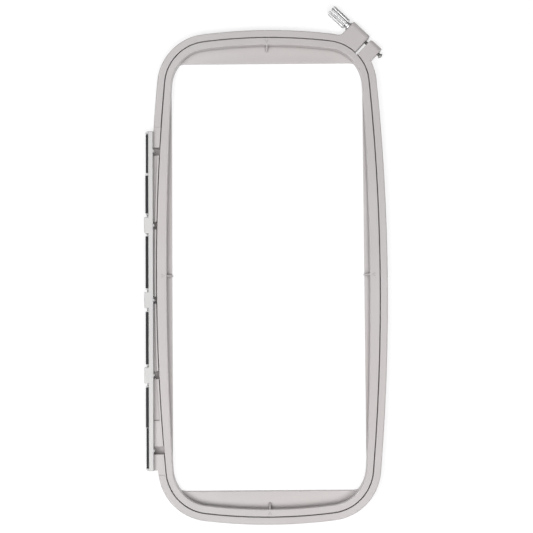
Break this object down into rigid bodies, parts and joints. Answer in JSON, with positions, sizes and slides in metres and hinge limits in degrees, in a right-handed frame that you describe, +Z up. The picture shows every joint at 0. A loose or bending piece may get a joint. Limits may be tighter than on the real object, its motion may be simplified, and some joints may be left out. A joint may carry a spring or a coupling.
{
  "type": "embroidery hoop",
  "caption": "Long embroidery hoop: split outer ring with a thumb-screw clamp, lift-out inner ring with a flange, and a side rail with pin sockets and catch tabs.",
  "frame": {"origin": "centre of the sewing field on the underside plane", "axes": "+X points away from the rail, +Y along the long side towards the clamp, +Z up out of the hoop's face"},
  "size_m": [0.1954, 0.4179, 0.014],
  "materials": {
    "hoop_plastic": "light warm grey moulded plastic, satin",
    "rail_plastic": "lighter grey moulded plastic, satin",
    "strip_rubber": "black, finely ribbed",
    "knob_nickel": "nickel-plated, fluted",
    "dark_steel": "dull zinc-plated steel",
    "liner_steel": "bare steel"
  },
  "bodies": {
    "outer": {"outer_hoop": "hoop_plastic", "attachment_rail": "rail_plastic", "rail_screws": "dark_steel", "clamp_nut": "dark_steel", "rail_strip_1": "strip_rubber", "rail_strip_2": "strip_rubber", "rail_strip_3": "strip_rubber", "rail_strip_4": "strip_rubber", "rail_strip_5": "strip_rubber", "rail_strip_6": "strip_rubber", "pin_socket_1": "liner_steel", "pin_socket_2": "liner_steel", "pin_socket_3": "liner_steel", "pin_socket_4": "liner_steel", "pin_socket_5": "liner_steel"},
    "inner": {"inner_hoop": "hoop_plastic"},
    "washer": {"clamp_washer": "knob_nickel"},
    "screw": {"screw_knob": "knob_nickel", "screw_shank": "dark_steel", "retaining_clip": "dark_steel"}
  },
  "joints": [
    {"name": "inner_lift", "type": "slide", "parent": "outer", "child": "inner", "axis": [0, 0, 1], "range_m": [0, 0.03]},
    {"name": "screw_travel", "type": "slide", "parent": "outer", "child": "washer", "axis": [-0.7206, 0.6934, 0], "range_m": [0, 0.002]},
    {"name": "screw_turn", "type": "hinge", "parent": "washer", "child": "screw", "pos_m": [0.0813, 0.1886, 0.005], "axis": [-0.7206, 0.6934, 0], "range_deg": [0, 1445]}
  ],
  "couplings": [
    {"joint": "screw_turn", "follows": "screw_travel", "rad_per_m": 12566}
  ]
}
